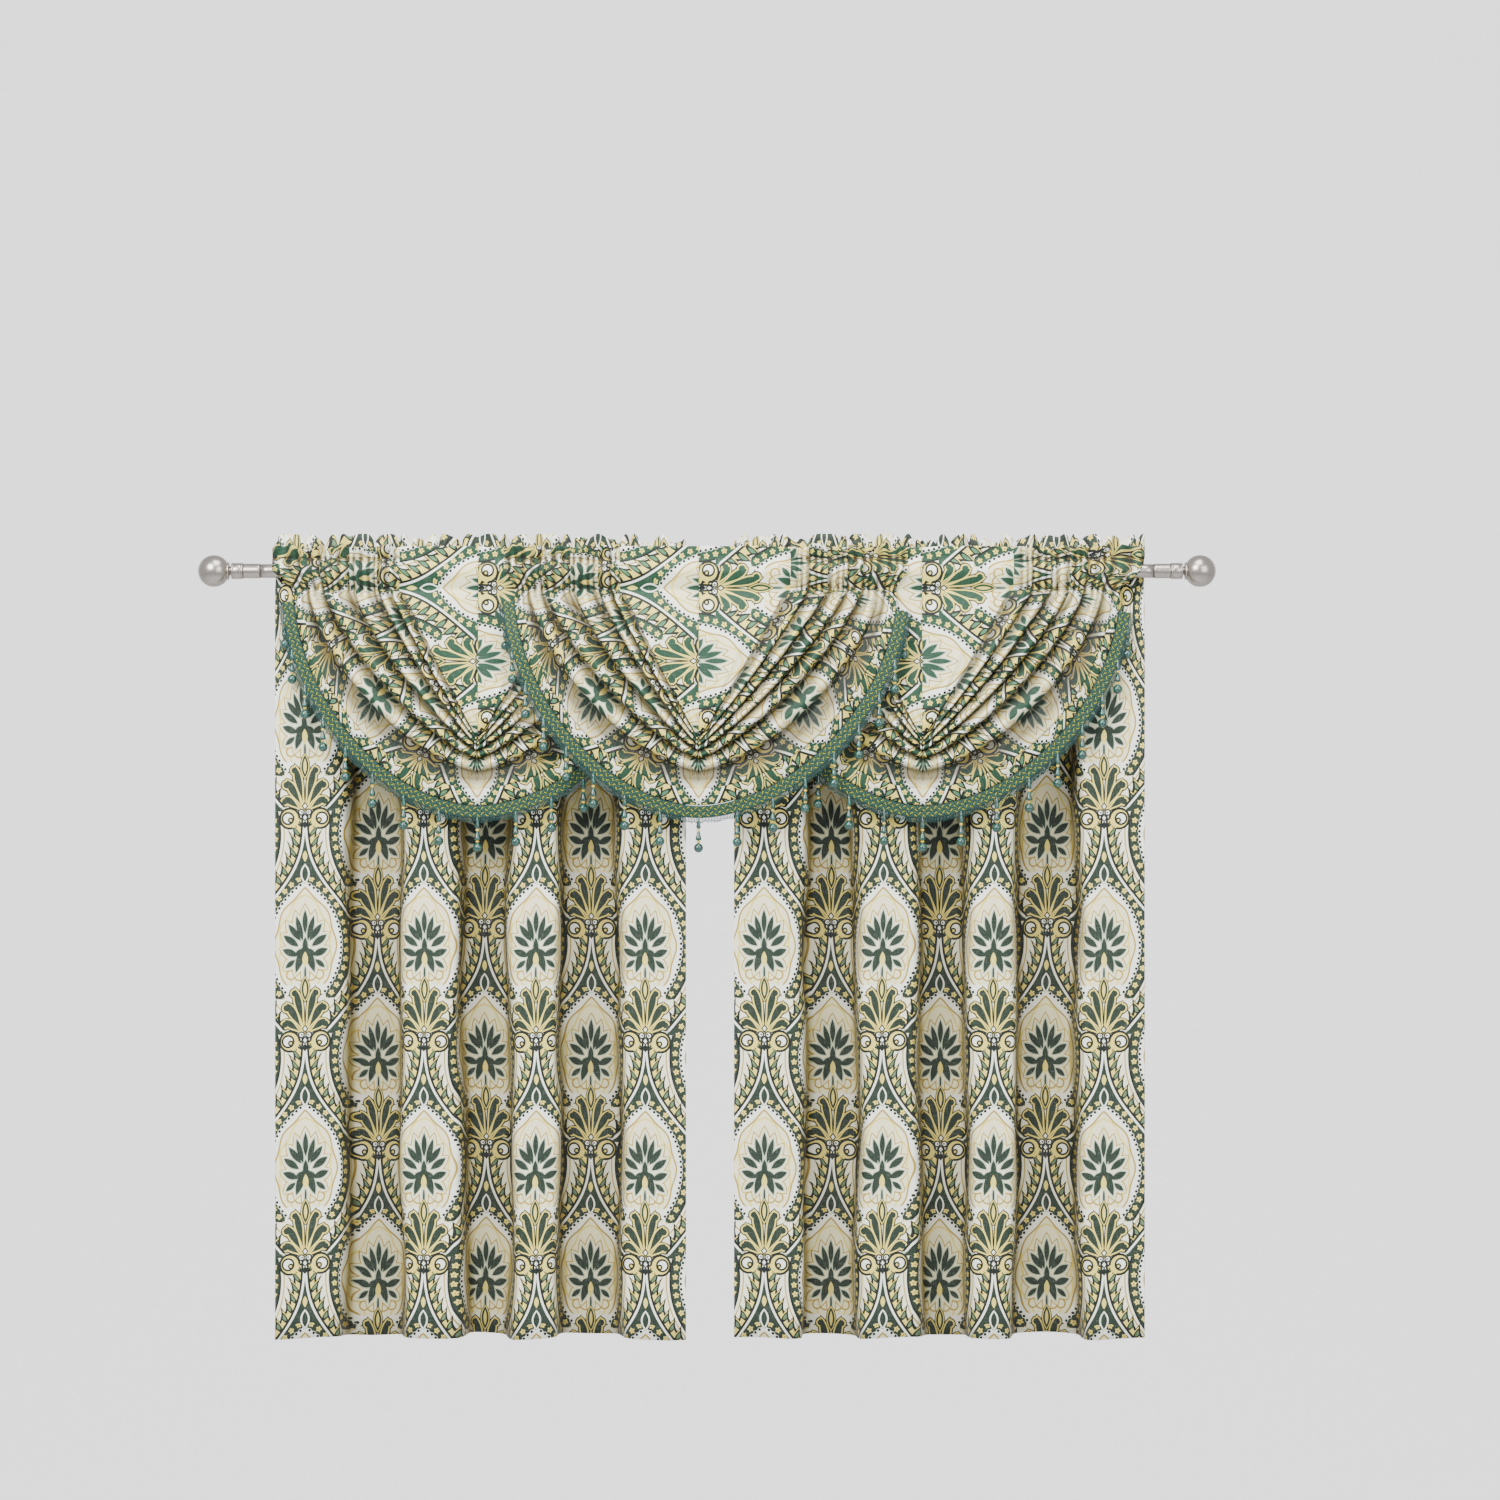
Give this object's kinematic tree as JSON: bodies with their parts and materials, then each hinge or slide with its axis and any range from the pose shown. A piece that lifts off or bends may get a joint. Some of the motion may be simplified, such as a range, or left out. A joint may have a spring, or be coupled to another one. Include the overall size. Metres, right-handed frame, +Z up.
{
  "type": "curtains with valances on a curtain rod",
  "caption": "Two rod-pocket damask curtain panels under overlapping swag valances with beaded trim, gathered together on a brushed metal curtain rod with ball finials",
  "frame": {"origin": "on the pole's axis, midway between its two ends", "axes": "+X along the pole to the right as seen from the room, +Y from the room towards the wall, +Z up"},
  "size_m": [2.036, 0.1814, 1.605],
  "materials": {
    "damask": "satin-weave cotton damask, cream ground with a green and gold ogee pattern",
    "trim_thread": "plaited viscose braid in greens and yellow, with glass bead drops",
    "brushed_metal": "brushed nickel on steel tube"
  },
  "bodies": {
    "root": {"pole": "brushed_metal", "sleeve_left": "brushed_metal", "sleeve_right": "brushed_metal", "finial_left": "brushed_metal", "finial_right": "brushed_metal", "panel_left": "damask", "panel_right": "damask", "valance_left": "damask", "valance_centre": "damask", "valance_right": "damask", "trim_left": "trim_thread", "trim_centre": "trim_thread", "trim_right": "trim_thread"}
  },
  "joints": []
}
